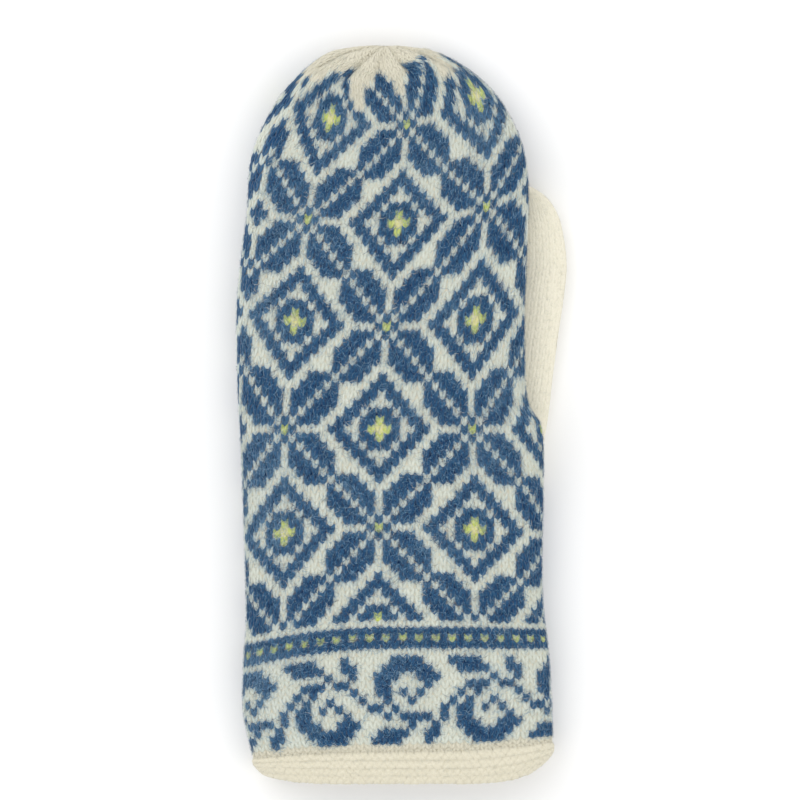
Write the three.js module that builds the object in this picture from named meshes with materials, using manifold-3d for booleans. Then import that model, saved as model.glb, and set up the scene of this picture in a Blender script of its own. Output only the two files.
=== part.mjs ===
import * as THREE from 'three';
import Module from 'manifold-3d';

// A knitted wool mitten for the left hand, lying palm down with its thumb folded flat under the palm.
// Millimetres. +Y runs from the cuff to the fingertip, +X is the thumb's side, +Z is up.
// Every y is measured from the edge of the cuff, and the whole mitten is centred at the end.

// Thicknesses of the knit and the gap between neighbouring pieces
const HAND_WALL = 3.0;
const THUMB_WALL = 2.6;
const HEM_WALL = 4.0;
const GAP = 0.3;

// The hand pocket. Each row is one round of knitting, from the cuff to the fingertip: where it crosses the
// middle of the back of the hand, its left and right ends, its thickness, and how high its underside is.
const HAND_ROUNDS = [
  { front: 12.4, leftX: -53.6, leftY: 9.4, rightX: 54.3, rightY: 15.5, thick: 23.0, rise: 0 },
  { front: 29.9, leftX: -56.8, leftY: 24.8, rightX: 53.9, rightY: 31.3, thick: 23.4, rise: 0 },
  { front: 47.2, leftX: -57.0, leftY: 40.3, rightX: 52.8, rightY: 47.2, thick: 24.0, rise: 0 },
  { front: 64.4, leftX: -55.9, leftY: 58.7, rightX: 51.0, rightY: 62.6, thick: 24.6, rise: 0 },
  { front: 82.8, leftX: -56.3, leftY: 78.1, rightX: 50.5, rightY: 79.9, thick: 25.0, rise: 0 },
  { front: 105.5, leftX: -57.2, leftY: 103.0, rightX: 51.0, rightY: 103.7, thick: 25.0, rise: 0 },
  { front: 127.1, leftX: -58.2, leftY: 127.1, rightX: 50.5, rightY: 127.1, thick: 25.0, rise: 0 },
  { front: 137.9, leftX: -59.0, leftY: 139.7, rightX: 45.1, rightY: 139.0, thick: 25.0, rise: 0 },
  { front: 160.9, leftX: -59.5, leftY: 166.3, rightX: 44.2, rightY: 166.0, thick: 25.0, rise: 0 },
  { front: 179.3, leftX: -58.4, leftY: 184.3, rightX: 44.9, rightY: 187.6, thick: 25.0, rise: 0 },
  { front: 201.2, leftX: -55.7, leftY: 205.6, rightX: 45.6, rightY: 213.8, thick: 24.8, rise: 0 },
  { front: 218.9, leftX: -54.1, leftY: 225.4, rightX: 42.6, rightY: 231.8, thick: 24.2, rise: 0 },
  { front: 233.3, leftX: -46.5, leftY: 243.0, rightX: 34.5, rightY: 247.0, thick: 22.8, rise: 0.6 },
  { front: 242.3, leftX: -37.5, leftY: 254.5, rightX: 23.7, rightY: 257.0, thick: 20.4, rise: 1.8 },
  { front: 251.3, leftX: -27.5, leftY: 262.4, rightX: 12.1, rightY: 263.3, thick: 16.4, rise: 3.8 },
  { front: 258.5, leftX: -18.5, leftY: 264.8, rightX: 4.6, rightY: 264.8, thick: 10.4, rise: 6.8 },
  { front: 263.2, leftX: -10.2, leftY: 265.5, rightX: -1.5, rightY: 265.5, thick: 4.6, rise: 9.7 },
];
const HAND_CROWN = { top: 2.4, bottom: 3.0 };   // how square the rounded section is, 2 being an ellipse
const HAND_FACETS = 56;

// Folds of the gathered fingertip: their direction round the tip in degrees, from the thumb's side over the
// back of the hand, their depth, and how far they run down from the gathered point
const TIP_FOLDS = [
  { turn: 20, depth: 1.0, reach: 12 },
  { turn: 57, depth: 1.7, reach: 14 },
  { turn: 93, depth: 1.5, reach: 17 },
  { turn: 124, depth: 1.9, reach: 18 },
  { turn: 158, depth: 1.1, reach: 12 },
  { turn: 196, depth: 1.2, reach: 14 },
  { turn: 232, depth: 1.6, reach: 16 },
  { turn: 270, depth: 1.4, reach: 15 },
  { turn: 306, depth: 1.7, reach: 16 },
  { turn: 340, depth: 1.1, reach: 13 },
];
const FOLD_WIDTH = 9;                           // degrees to each side of a fold
const FOLD_FULL_SHARE = 0.3;                    // a fold has its full depth over this share of its reach
const HAND_TAPER_ROW = 11;                      // the rounds are laid closer together from this row on
const HAND_HOLLOW_LAST = 14.3;                  // the hollow ends this far up the table of rounds
const HAND_HOLLOW_TIP = 2.5;                    // and its end bulges by this much

// The thumb, from its root in the palm to its tip
const THUMB_ROUNDS = [
  { front: 97.6, leftX: 10.7, rightX: 45.3, thick: 11.0, rise: 0 },
  { front: 112.7, leftX: 12.5, rightX: 48.5, thick: 11.0, rise: 0 },
  { front: 127.1, leftX: 14.7, rightX: 52.1, thick: 11.0, rise: 0 },
  { front: 147.2, leftX: 18.3, rightX: 54.6, thick: 11.0, rise: 0 },
  { front: 160.9, leftX: 20.4, rightX: 56.4, thick: 11.0, rise: 0 },
  { front: 174.6, leftX: 22.4, rightX: 58.4, thick: 11.0, rise: 0 },
  { front: 186.5, leftX: 23.7, rightX: 59.5, thick: 11.0, rise: 0 },
  { front: 199.4, leftX: 25.8, rightX: 57.9, thick: 10.6, rise: 0.2 },
  { front: 205.9, leftX: 28.0, rightX: 55.7, thick: 10.0, rise: 0.5 },
  { front: 210.6, leftX: 30.9, rightX: 52.5, thick: 8.8, rise: 1.1 },
  { front: 214.0, leftX: 34.8, rightX: 48.0, thick: 6.4, rise: 2.3 },
  { front: 215.8, leftX: 38.6, rightX: 44.0, thick: 3.0, rise: 4.0 },
];
const THUMB_CROWN = { top: 2.4, bottom: 3.0 };
const THUMB_FACETS = 28;
const THUMB_HEIGHT = 11.0;
const THUMB_TAPER_ROW = 7;
const THUMB_HOLLOW_LAST = 9.4;
const THUMB_HOLLOW_TIP = 1.5;
const THUMB_ROOT_Y = 97.6;
const THUMB_TIP_Y = 216.0;

// The palm over the thumb: it climbs from the thumb's root, lies on the thumb, and comes down past its tip
const PALM_LIFT = THUMB_HEIGHT + GAP;
const LIFT_START_Y = 100;
const LIFT_FULL_Y = 127;
const LIFT_LEAVES_Y = 213;
const LIFT_END_Y = 246;
const LIFT_SLOPE = 20;                          // width of the slope beside the thumb
const LIFT_MARGIN = 2;                          // full height starts this far before the thumb's edge
const TOP_SHARE = 0.35;                         // how much of the lift reaches the back of the hand
const UNDERSIDE_SINK = 0.8;                     // pressed flat by this much where it rests

// The hem at the cuff, from its free edge to the seam with the hand
const HEM_ROUNDS = [
  { front: 0.8, leftX: -50.4, leftY: 4.6, rightX: 52.6, rightY: 9.4, thick: 22.6, rise: 0 },
  { front: 4.4, leftX: -52.4, leftY: 5.6, rightX: 54.2, rightY: 10.6, thick: 24.4, rise: 0 },
  { front: 8.6, leftX: -53.6, leftY: 7.2, rightX: 54.9, rightY: 12.8, thick: 24.2, rise: 0 },
  { front: 12.0, leftX: -53.6, leftY: 9.0, rightX: 54.3, rightY: 15.1, thick: 23.0, rise: 0 },
];
const HEM_LIP = 2.2;                            // how far the hem's round edge stands out

const CREAM = 0xe3ddcb;
const BLUE = 0x3f6290;

const { clamp, smoothstep, lerp, radToDeg } = THREE.MathUtils;

const wasm = await Module();
wasm.setup();

// Reads a table of rounds at any place t between its rows, on a smooth curve through them.
function roundAt(rounds, t) {
  const last = rounds.length - 1;
  const i = clamp(Math.floor(t), 0, last - 1);
  const f = t - i;
  const [before, from, to, after] = [i - 1, i, i + 1, i + 2].map((k) => rounds[clamp(k, 0, last)]);
  const round = {};
  for (const column of Object.keys(from)) {
    const slopeIn = (to[column] - before[column]) / 2;
    const slopeOut = (after[column] - from[column]) / 2;
    const climb = to[column] - from[column];
    const bend = 3 * climb - 2 * slopeIn - slopeOut;
    const twist = slopeIn + slopeOut - 2 * climb;
    round[column] = from[column] + f * (slopeIn + f * (bend + f * twist));
  }
  round.rise = Math.max(round.rise, 0);
  return round;
}

// How high the palm is lifted by the thumb under it.
function palmLift(x, y) {
  const alongThumb = clamp((y - THUMB_ROOT_Y) / (THUMB_TIP_Y - THUMB_ROOT_Y), 0, 1);
  const thumbEdge = lerp(THUMB_ROUNDS[0].leftX, THUMB_ROUNDS[8].leftX, alongThumb);
  const across = smoothstep(x, thumbEdge - LIFT_MARGIN - LIFT_SLOPE, thumbEdge - LIFT_MARGIN);
  const climb = smoothstep(y, LIFT_START_Y, LIFT_FULL_Y);
  const descent = 1 - smoothstep(y, LIFT_LEAVES_Y, LIFT_END_Y);
  return PALM_LIFT * across * climb * descent;
}

// A unit section: turn 0 is the thumb's side, 90 degrees the top, 270 degrees the underside.
function sectionShape(turn, crown) {
  const power = Math.sin(turn) >= 0 ? 2 / crown.top : 2 / crown.bottom;
  const across = Math.sign(Math.cos(turn)) * Math.abs(Math.cos(turn)) ** power;
  const up = Math.sign(Math.sin(turn)) * Math.abs(Math.sin(turn)) ** power;
  return { across, up };
}

// A point on the smooth outer face of the hand or of its hem.
function handPoint(rounds, t, turn) {
  const round = roundAt(rounds, t);
  const { across, up } = sectionShape(turn, HAND_CROWN);
  const x = (round.leftX + round.rightX) / 2 + ((round.rightX - round.leftX) / 2) * across;
  const edgeY = across < 0 ? round.leftY : round.rightY;
  const y = round.front + (edgeY - round.front) * across ** 2;
  const lift = palmLift(x, y);
  const middle = round.rise + round.thick / 2 + (lift * (1 + TOP_SHARE)) / 2;
  const half = round.thick / 2 - (lift * (1 - TOP_SHARE)) / 2;
  const sink = up < 0 ? UNDERSIDE_SINK : 0;
  const floor = round.rise + lift;
  const z = Math.max(middle + (half + sink) * up, up < 0 ? floor : -Infinity);
  return new THREE.Vector3(x, y, z);
}

// A point on the outer face of the thumb, grown outwards by a margin.
function thumbPoint(t, turn, margin = 0) {
  const round = roundAt(THUMB_ROUNDS, t);
  const { across, up } = sectionShape(turn, THUMB_CROWN);
  const x = (round.leftX + round.rightX) / 2 + ((round.rightX - round.leftX) / 2 + margin) * across;
  const half = round.thick / 2 + margin;
  const sink = up < 0 ? UNDERSIDE_SINK : 0;
  const floor = round.rise - margin;
  const z = Math.max(round.rise + round.thick / 2 + (half + sink) * up, up < 0 ? floor : -Infinity);
  return new THREE.Vector3(x, round.front, z);
}

// The outward direction of a smooth face at one point.
function outwardAt(pointAt, t, turn) {
  const step = 1e-3;
  const along = pointAt(t + step, turn).sub(pointAt(t - step, turn));
  const around = pointAt(t, turn + step).sub(pointAt(t, turn - step));
  return along.cross(around).normalize();
}

// How deep the gathered folds press in at one place of the fingertip.
function foldDepth(point, turn) {
  const tipY = HAND_ROUNDS.at(-1).rightY;
  let depth = 0;
  for (const fold of TIP_FOLDS) {
    const away = Math.abs(((radToDeg(turn) - fold.turn + 540) % 360) - 180);
    const fade = 1 - smoothstep(tipY - point.y, fold.reach * FOLD_FULL_SHARE, fold.reach);
    depth += fold.depth * Math.exp(-((away / FOLD_WIDTH) ** 2)) * fade;
  }
  return depth;
}

// Lays rings of points at the places t along a piece.
function ringsOf(places, facets, pointAt) {
  return places.map((t) => Array.from({ length: facets }, (_, i) => pointAt(t, (i / facets) * 2 * Math.PI)));
}

// Joins rings into one closed solid, with each end closed towards a middle point.
function loft(rings, startMiddle, endMiddle) {
  const facets = rings[0].length;
  const points = [...rings.flat(), startMiddle, endMiddle];
  const start = points.length - 2;
  const end = points.length - 1;
  const triangles = [];
  for (let i = 0; i < facets; i++) {
    const next = (i + 1) % facets;
    for (let j = 0; j < rings.length - 1; j++) {
      const low = j * facets;
      const high = low + facets;
      triangles.push(low + i, high + i, low + next);
      triangles.push(low + next, high + i, high + next);
    }
    const top = (rings.length - 1) * facets;
    triangles.push(start, i, next);
    triangles.push(end, top + next, top + i);
  }
  return solidOf(points, triangles);
}

// Joins rings into a closed band whose last ring meets its first, such as a hem.
function band(rings) {
  const facets = rings[0].length;
  const triangles = [];
  rings.forEach((ring, j) => {
    const low = j * facets;
    const high = ((j + 1) % rings.length) * facets;
    for (let i = 0; i < facets; i++) {
      const next = (i + 1) % facets;
      triangles.push(low + i, high + i, low + next);
      triangles.push(low + next, high + i, high + next);
    }
  });
  return solidOf(rings.flat(), triangles);
}

function solidOf(points, triangles) {
  const vertProperties = new Float32Array(points.flatMap((p) => [p.x, p.y, p.z]));
  return new wasm.Manifold(new wasm.Mesh({ numProp: 3, vertProperties, triVerts: new Uint32Array(triangles) }));
}

function middleOf(ring) {
  return ring.reduce((sum, p) => sum.add(p), new THREE.Vector3()).divideScalar(ring.length);
}

function steps(from, to, count) {
  return Array.from({ length: count + 1 }, (_, k) => lerp(from, to, k / count));
}

function meshOf(name, solid, color) {
  const { vertProperties, triVerts } = solid.getMesh();
  const geometry = new THREE.BufferGeometry();
  geometry.setAttribute('position', new THREE.BufferAttribute(new Float32Array(vertProperties), 3));
  geometry.setIndex(new THREE.BufferAttribute(new Uint32Array(triVerts), 1));
  geometry.computeVertexNormals();
  const mesh = new THREE.Mesh(geometry, new THREE.MeshStandardMaterial({ color, roughness: 0.95, metalness: 0 }));
  mesh.name = name;
  return mesh;
}

// Hand: the outer face with its gathered folds
const handFace = (t, turn) => handPoint(HAND_ROUNDS, t, turn);
function foldedHandFace(t, turn) {
  const point = handFace(t, turn);
  const depth = foldDepth(point, turn);
  return depth < 0.01 ? point : point.addScaledVector(outwardAt(handFace, t, turn), -depth);
}
const handLast = HAND_ROUNDS.length - 1;
const handPlaces = [...steps(0, HAND_TAPER_ROW, 19), ...steps(HAND_TAPER_ROW, handLast, 11).slice(1)];
const handRings = ringsOf(handPlaces, HAND_FACETS, foldedHandFace);
const handTip = middleOf(handRings.at(-1));
const handOuter = loft(handRings, middleOf(handRings[0]), handTip);

// Hand: the hollow, which leaves the cuff open and ends before the gathered point
const MOUTH_RUN = new THREE.Vector3(0, -6, 0);
const hollowFace = (t, turn) => handFace(t, turn).addScaledVector(outwardAt(handFace, t, turn), -HAND_WALL);
const hollowPlaces = [...steps(0, HAND_TAPER_ROW, 15), ...steps(HAND_TAPER_ROW, HAND_HOLLOW_LAST, 6).slice(1)];
const hollowRings = ringsOf(hollowPlaces, HAND_FACETS, hollowFace);
hollowRings.unshift(hollowRings[0].map((p) => p.clone().add(MOUTH_RUN)));
const hollowTip = middleOf(hollowRings.at(-1)).add(new THREE.Vector3(0, HAND_HOLLOW_TIP, 0));
const handHollow = loft(hollowRings, middleOf(hollowRings[0]), hollowTip);

// Thumb: its outer face, the same grown by the gap, and its hollow
const thumbLast = THUMB_ROUNDS.length - 1;
const thumbPlaces = [...steps(0, THUMB_TAPER_ROW, 9), ...steps(THUMB_TAPER_ROW, thumbLast, 7).slice(1)];
const thumbRings = ringsOf(thumbPlaces, THUMB_FACETS, thumbPoint);
const thumbOuter = loft(thumbRings, middleOf(thumbRings[0]), middleOf(thumbRings.at(-1)));

const passageRings = ringsOf(thumbPlaces, THUMB_FACETS, (t, turn) => thumbPoint(t, turn, GAP));
passageRings[0].forEach((p) => { p.y -= GAP; });
passageRings.at(-1).forEach((p) => { p.y += GAP; });
const thumbPassage = loft(passageRings, middleOf(passageRings[0]), middleOf(passageRings.at(-1)));

const thumbInside = (t, turn) => thumbPoint(t, turn).addScaledVector(outwardAt(thumbPoint, t, turn), -THUMB_WALL);
const thumbHollowPlaces = [...steps(0, THUMB_TAPER_ROW, 8), ...steps(THUMB_TAPER_ROW, THUMB_HOLLOW_LAST, 3).slice(1)];
const thumbHollowRings = ringsOf(thumbHollowPlaces, THUMB_FACETS, thumbInside);
thumbHollowRings.unshift(thumbHollowRings[0].map((p) => p.clone().add(MOUTH_RUN)));
const thumbHollowTip = middleOf(thumbHollowRings.at(-1)).add(new THREE.Vector3(0, THUMB_HOLLOW_TIP, 0));
const thumbHollow = loft(thumbHollowRings, middleOf(thumbHollowRings[0]), thumbHollowTip);

// The palm has an opening where the thumb is picked up, and the thumb ends flush with the inside of the palm
const hand = handOuter.subtract(handHollow).subtract(thumbPassage);
const thumb = thumbOuter.subtract(thumbHollow).subtract(handHollow);

// Hem: a thick band whose outer face bulges a little and whose free edge is round
const hemFace = (t, turn) => handPoint(HEM_ROUNDS, t, turn);
function hemInside(t, turn) {
  return hemFace(t, turn).addScaledVector(outwardAt(hemFace, t, turn), -HEM_WALL);
}
const hemOuterRings = ringsOf([0, 1, 2, 3], HAND_FACETS, hemFace);
const hemInnerRings = ringsOf([2.85, 1.7, 0.4], HAND_FACETS, hemInside);
const hemLip = hemInnerRings[2].map((p, i) => p.clone().lerp(hemOuterRings[0][i], 0.5).setY(p.y - HEM_LIP));
const hem = band([...hemOuterRings, ...hemInnerRings, hemLip]);

const mitten = new THREE.Group();
mitten.add(meshOf('hand', hand, BLUE));
mitten.add(meshOf('thumb', thumb, CREAM));
mitten.add(meshOf('cuff_hem', hem, CREAM));

// The origin is under the middle of the whole mitten, on the surface that it lies on
const extent = new THREE.Box3().setFromObject(mitten);
const middle = extent.getCenter(new THREE.Vector3());
mitten.position.set(-middle.x, -middle.y, -extent.min.z);
mitten.updateMatrixWorld(true);

export default mitten;
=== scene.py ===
import math

import bmesh
import bpy
import numpy as np
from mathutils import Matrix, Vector


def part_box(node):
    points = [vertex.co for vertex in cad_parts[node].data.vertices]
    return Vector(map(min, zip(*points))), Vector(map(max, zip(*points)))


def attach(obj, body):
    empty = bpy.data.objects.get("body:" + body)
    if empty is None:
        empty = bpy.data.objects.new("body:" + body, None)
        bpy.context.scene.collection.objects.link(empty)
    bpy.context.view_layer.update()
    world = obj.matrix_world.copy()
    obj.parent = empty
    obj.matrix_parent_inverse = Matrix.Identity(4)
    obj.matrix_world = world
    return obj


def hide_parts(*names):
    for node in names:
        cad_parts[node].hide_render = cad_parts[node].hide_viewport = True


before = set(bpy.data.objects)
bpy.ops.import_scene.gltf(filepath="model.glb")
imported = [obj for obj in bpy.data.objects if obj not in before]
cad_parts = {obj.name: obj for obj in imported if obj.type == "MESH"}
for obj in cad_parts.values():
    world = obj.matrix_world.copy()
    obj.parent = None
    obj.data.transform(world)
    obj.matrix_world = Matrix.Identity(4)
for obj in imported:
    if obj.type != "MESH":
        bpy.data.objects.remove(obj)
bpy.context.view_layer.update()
MM = 0.001

# Photo studio
# The mitten lies palm down on a plain pale table, and is seen from straight above, as in the photo. The
# photo's scale holds at the height of the mitten's outline. Large soft lights leave almost no shadow.
PHOTO_PIXELS = 800
PHOTO_MIDDLE = PHOTO_PIXELS / 2
PIXEL = 0.36 * MM
MITTEN_MIDDLE_X = 401.3
MITTEN_MIDDLE_Y = 414.4
OUTLINE_HEIGHT = 12 * MM
CAMERA_HEIGHT = 6.0
SENSOR = 36.0
FURTHEST_SEEN = 20


def placed(name, data):
    """A new object in the scene."""
    item = bpy.data.objects.new(name, data)
    bpy.context.collection.objects.link(item)
    return item


camera_data = bpy.data.cameras.new("photo_camera")
camera_data.sensor_width = SENSOR
camera_data.lens = SENSOR * CAMERA_HEIGHT / (PHOTO_PIXELS * PIXEL)
camera_data.clip_end = FURTHEST_SEEN
camera = placed("photo_camera", camera_data)
camera.location = (
    (PHOTO_MIDDLE - MITTEN_MIDDLE_X) * PIXEL,
    (MITTEN_MIDDLE_Y - PHOTO_MIDDLE) * PIXEL,
    CAMERA_HEIGHT + OUTLINE_HEIGHT,
)
bpy.context.scene.camera = camera

FLOOR_SIZE = 6.0
floor_form = bmesh.new()
bmesh.ops.create_grid(floor_form, x_segments=1, y_segments=1, size=FLOOR_SIZE / 2)
floor_mesh = bpy.data.meshes.new("table_top")
floor_form.to_mesh(floor_mesh)
floor_form.free()
floor = placed("table_top", floor_mesh)
floor_paint = bpy.data.materials.new("matt_white_table")
floor_paint.use_nodes = True
floor_shader = floor_paint.node_tree.nodes["Principled BSDF"]
floor_shader.inputs["Base Color"].default_value = (0.96, 0.96, 0.96, 1)
floor_shader.inputs["Roughness"].default_value = 0.9
floor_shader.inputs["Specular IOR Level"].default_value = 0.1
floor_mesh.materials.append(floor_paint)

sky = bpy.data.worlds.new("white_room")
sky.use_nodes = True
sky_light = sky.node_tree.nodes["Background"]
sky_light.inputs["Color"].default_value = (1, 1, 1, 1)
sky_light.inputs["Strength"].default_value = 1.0
bpy.context.scene.world = sky
bpy.context.scene.view_settings.view_transform = "Standard"

SOFT_LIGHTS = {
    "key_left": {"place": (-0.9, 0.7, 1.3), "size": 1.6, "watts": 7},
    "fill_right": {"place": (1.0, -0.5, 1.2), "size": 1.6, "watts": 3},
}
for light_name, light in SOFT_LIGHTS.items():
    lamp_data = bpy.data.lights.new(light_name, "AREA")
    lamp_data.size = light["size"]
    lamp_data.energy = light["watts"]
    lamp = placed(light_name, lamp_data)
    lamp.location = light["place"]
    lamp.rotation_euler = (-Vector(light["place"])).to_track_quat("-Z", "Y").to_euler()

# Hand pocket: its form
# A tube of two-colour wool knit, drawn together at the fingertip. Each row of the table is one round of
# stitches, in millimetres: where it crosses the back of the hand, its two ends, its thickness and its
# lowest point. The hem's rows, further down, also say how square the round's ends are.
ROUND_COLUMNS = ("front", "left_x", "left_y", "right_x", "right_y", "thick", "rise", "square")
HAND_ROUNDS = np.array([
    (12.4, -53.6, 9.4, 54.3, 15.5, 23.0, 0.0),
    (29.9, -56.8, 24.8, 53.9, 31.3, 23.4, 0.0),
    (47.2, -57.0, 40.3, 52.8, 47.2, 24.0, 0.0),
    (64.4, -55.9, 58.7, 51.0, 62.6, 24.6, 0.0),
    (82.8, -56.3, 78.1, 50.5, 79.9, 25.0, 0.0),
    (105.5, -57.2, 103.0, 51.0, 103.7, 25.0, 0.0),
    (127.1, -58.2, 127.1, 50.5, 127.1, 25.0, 0.0),
    (137.9, -59.0, 139.7, 45.1, 139.0, 25.0, 0.0),
    (160.9, -59.5, 166.3, 44.2, 166.0, 25.0, 0.0),
    (179.3, -58.4, 184.3, 44.9, 187.6, 25.0, 0.0),
    (201.2, -55.7, 205.6, 45.6, 213.8, 24.8, 0.0),
    (218.9, -54.1, 225.4, 42.6, 231.8, 24.2, 0.0),
    (233.3, -46.5, 243.0, 34.5, 247.0, 22.8, 0.6),
    (242.3, -37.5, 254.5, 23.7, 257.0, 20.4, 1.8),
    (251.3, -27.5, 262.4, 12.1, 263.3, 16.4, 3.8),
    (258.5, -18.5, 264.8, 4.6, 264.8, 10.4, 6.8),
    (263.7, -10.2, 265.5, -1.5, 265.5, 4.6, 9.7),
    (265.3, -5.82, 265.4, -5.78, 265.4, 0.05, 12.0),
])
# The section is an oval, fuller below than above, with its underside pressed flat on the table
CROWN_TOP = 2.4
CROWN_BOTTOM = 3.0
UNDERSIDE_SINK = 0.8

# The thumb, in the same way, from its root in the palm to its tip
THUMB_ROUNDS = np.array([
    (97.6, 10.7, 97.6, 45.3, 97.6, 11.0, 0.0),
    (112.7, 12.5, 112.7, 48.5, 112.7, 11.0, 0.0),
    (127.1, 14.7, 127.1, 52.1, 127.1, 11.0, 0.0),
    (147.2, 18.3, 147.2, 54.6, 147.2, 11.0, 0.0),
    (160.9, 20.4, 160.9, 56.4, 160.9, 11.0, 0.0),
    (174.6, 22.4, 174.6, 58.4, 174.6, 11.0, 0.0),
    (186.5, 23.7, 186.5, 59.5, 186.5, 11.0, 0.0),
    (199.4, 25.8, 199.4, 57.9, 199.4, 10.6, 0.2),
    (205.9, 28.0, 205.9, 55.7, 205.9, 10.0, 0.5),
    (210.6, 30.9, 210.6, 52.5, 210.6, 8.8, 1.1),
    (214.0, 34.8, 214.0, 48.0, 214.0, 6.4, 2.3),
    (215.8, 38.6, 215.8, 44.0, 215.8, 3.0, 4.0),
])

# The palm rises over the thumb, from the thumb's inner edge on. The back of the hand rises a share of it.
THUMB_ROOT_Y = 97.6
THUMB_TIP_Y = 216.0
THUMB_EDGE_AT_ROOT = 10.7
THUMB_EDGE_AT_TIP = 28.0
PALM_LIFT = 11.3
LIFT_START_Y = 100
LIFT_FULL_Y = 127
LIFT_LEAVES_Y = 213
LIFT_END_Y = 246
LIFT_SLOPE = 20
LIFT_MARGIN = 2
TOP_SHARE = 0.35

# Folds of the gathered fingertip: direction round the tip in degrees, depth and reach
TIP_FOLDS = (
    (20, 1.0, 12),
    (57, 1.7, 14),
    (93, 1.5, 17),
    (124, 1.9, 18),
    (158, 1.1, 12),
    (196, 1.2, 14),
    (232, 1.6, 16),
    (270, 1.4, 15),
    (306, 1.7, 16),
    (340, 1.1, 13),
)
FOLD_WIDTH = 9
CREASE_WIDTH = 3.5
CREASE_DEPTH = 2.2
FOLD_LIMIT = 0.38
FOLD_FULL_SHARE = 0.3
GATHER_Y = 265.5
TINY = 1e-9


def rounds_at(rounds, t):
    """The table of rounds read on a smooth curve through its rows, which runs on straight below the first."""
    last = len(rounds) - 1
    i = np.clip(np.floor(t).astype(int), 0, last - 1)
    f = (t - i)[..., None]
    before, start, end, after = (rounds[np.clip(i + k, 0, last)] for k in (-1, 0, 1, 2))
    before = np.where((i == 0)[..., None], 2 * start - end, before)
    slope_in = (end - before) / 2
    slope_out = (after - start) / 2
    climb = end - start
    bend = 3 * climb - 2 * slope_in - slope_out
    twist = slope_in + slope_out - 2 * climb
    value = start + f * (slope_in + f * (bend + f * twist))
    return dict(zip(ROUND_COLUMNS, np.moveaxis(value, -1, 0)))


def smoothstep(x, low, high):
    """Rises smoothly from 0 at low to 1 at high."""
    x = np.clip((x - low) / (high - low), 0, 1)
    return x * x * (3 - 2 * x)


def palm_lift(x, y):
    """How high the thumb under it lifts the palm."""
    along = np.clip((y - THUMB_ROOT_Y) / (THUMB_TIP_Y - THUMB_ROOT_Y), 0, 1)
    edge = THUMB_EDGE_AT_ROOT + (THUMB_EDGE_AT_TIP - THUMB_EDGE_AT_ROOT) * along
    across = smoothstep(x, edge - LIFT_MARGIN - LIFT_SLOPE, edge - LIFT_MARGIN)
    climb = smoothstep(y, LIFT_START_Y, LIFT_FULL_Y)
    return PALM_LIFT * across * climb * (1 - smoothstep(y, LIFT_LEAVES_Y, LIFT_END_Y))


def tube_point(rounds, t, turn, lifted):
    """A point on a piece's outer face. Turn 0 is the thumb's side, a quarter turn the top."""
    row = rounds_at(rounds, t)
    power = np.where(np.sin(turn) >= 0, 2 / CROWN_TOP, 2 / CROWN_BOTTOM)
    across = np.sign(np.cos(turn)) * np.abs(np.cos(turn)) ** power
    up = np.sign(np.sin(turn)) * np.abs(np.sin(turn)) ** power
    x = (row["left_x"] + row["right_x"]) / 2 + (row["right_x"] - row["left_x"]) / 2 * across
    end_y = np.where(across < 0, row["left_y"], row["right_y"])
    y = row["front"] + (end_y - row["front"]) * np.abs(across) ** row.get("square", 2)
    lift = palm_lift(x, y) if lifted else 0
    rise = np.maximum(row["rise"], 0)
    middle = rise + row["thick"] / 2 + lift * (1 + TOP_SHARE) / 2
    half = row["thick"] / 2 - lift * (1 - TOP_SHARE) / 2
    z = middle + (half + np.where(up < 0, UNDERSIDE_SINK, 0)) * up
    z = np.where(up < 0, np.maximum(z, rise + lift), z)
    return np.stack([x, y, z], -1)


def folded(ring, turn, direction, depth, reach):
    """A ring of points with one fold of the gathered fingertip drawn into it."""
    away = np.abs((np.degrees(turn) - direction + 180) % 360 - 180)
    fade = 1 - smoothstep(GATHER_Y - ring[:, 1], reach * FOLD_FULL_SHARE, reach)
    inward = ring.mean(0) - ring
    to_middle = np.linalg.norm(inward, axis=1)
    inward /= to_middle[:, None] + TINY
    soft = np.exp(-((away / FOLD_WIDTH) ** 2))
    sharp = CREASE_DEPTH * np.exp(-((away / CREASE_WIDTH) ** 2))
    pulled = np.minimum(depth * (soft + sharp) * fade, FOLD_LIMIT * to_middle)
    return ring + inward * pulled[:, None]


# Hand pocket: its rounds and columns of stitches
# 84 stitches go round. Each row of the table is a round's number, how far along the mitten it lies, where
# its stitch 0 crosses the back of the hand, the width of a stitch there, and the stitches that lie at the
# mitten's two edges in that round. So the rounds turn a little towards the fingertip.
STITCHES_ROUND = 84
THUMB_SIDE_STITCH = 23
OTHER_SIDE_STITCH = -19
KNIT_COLUMNS = ("round", "along", "x0", "pitch", "right_stitch", "left_stitch")
HAND_KNIT = np.array([
    (-29.5, 10.0, -6.6, 2.70, 22.0, -18.4),
    (-28.5, 12.2, -6.6, 2.72, 22.1, -18.4),
    (-27, 15.1, -6.8, 2.75, 22.2, -18.4),
    (-24, 24.0, -7.8, 2.89, 22.2, -18.4),
    (-21, 32.8, -8.1, 2.98, 22.2, -18.5),
    (-18, 41.4, -8.6, 3.02, 22.3, -18.5),
    (-16, 47.2, -8.6, 3.01, 22.3, -18.5),
    (-14, 52.5, -8.6, 2.99, 22.3, -18.6),
    (-11, 59.8, -8.6, 2.95, 22.3, -18.7),
    (0, 92.0, -8.2, 2.92, 22.7, -19.1),
    (12, 127.2, -8.0, 2.91, 23.4, -19.6),
    (24, 164.1, -5.5, 2.79, 20.4, -21.6),
    (36, 201.2, -1.2, 2.75, 19.2, -21.9),
    (48, 236.2, 1.9, 2.36, 15.9, -23.6),
    (51, 245.0, 0.9, 2.28, 15.0, -24.0),
    (54, 253.1, -0.8, 2.10, 14.0, -24.0),
    (57, 259.3, -3.0, 1.80, 14.0, -24.0),
    (59, 263.3, -5.0, 1.10, 14.0, -24.0),
    (60, 265.2, -5.8, 0.10, 14.0, -24.0),
])
FIRST_ROUND = HAND_KNIT[0, 0]
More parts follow.
